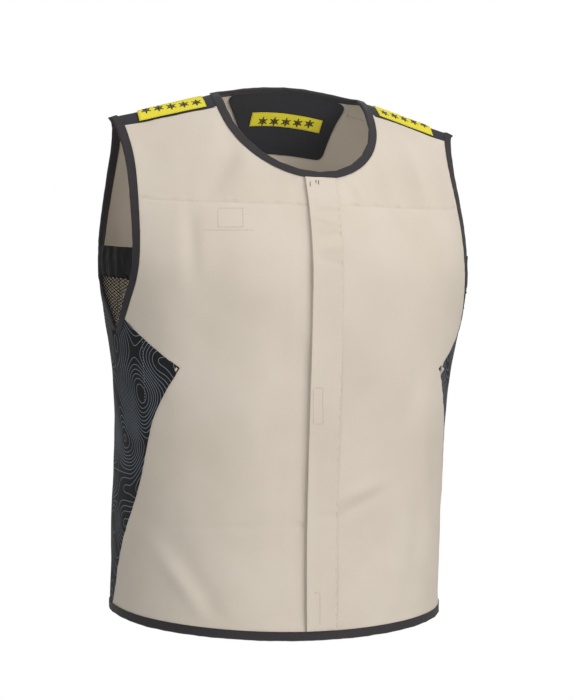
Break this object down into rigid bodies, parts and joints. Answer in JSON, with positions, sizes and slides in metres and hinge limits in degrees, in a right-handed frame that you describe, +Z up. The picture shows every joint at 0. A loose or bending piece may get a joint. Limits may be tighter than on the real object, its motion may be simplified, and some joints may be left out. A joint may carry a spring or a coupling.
{
  "type": "cooling vest",
  "caption": "Sleeveless front-closing cooling vest shown worn: beige panels, black side panels, net underarms, dark bound edges.",
  "frame": {"origin": "midway between the tops of the two shoulders beside the neck, where the vest sits on its wearer", "axes": "+Z up, -Y out of the front, +X to the wearer's left"},
  "size_m": [0.4388, 0.2701, 0.6191],
  "materials": {
    "beige_cloth": "matt",
    "side_cloth": "matt with fine grey lines",
    "dark_cloth": "matt",
    "binding_tape": "matt",
    "net": "matt",
    "label": "satin"
  },
  "bodies": {
    "root": {"front_right_lower": "beige_cloth", "front_right_upper": "beige_cloth", "side_panel_right": "side_cloth", "shoulder_strip_right": "dark_cloth", "armhole_binding_right": "binding_tape", "underarm_band_right": "dark_cloth", "underarm_mesh_right": "net", "label_shoulder_right": "label", "front_left_lower": "beige_cloth", "front_left_upper": "beige_cloth", "side_panel_left": "side_cloth", "shoulder_strip_left": "dark_cloth", "armhole_binding_left": "binding_tape", "underarm_band_left": "dark_cloth", "underarm_mesh_left": "net", "label_shoulder_left": "label", "back_panel": "beige_cloth", "placket": "beige_cloth", "neck_binding": "binding_tape", "hem_binding": "binding_tape", "back_neck_facing": "dark_cloth", "label_collar": "label"}
  },
  "joints": []
}
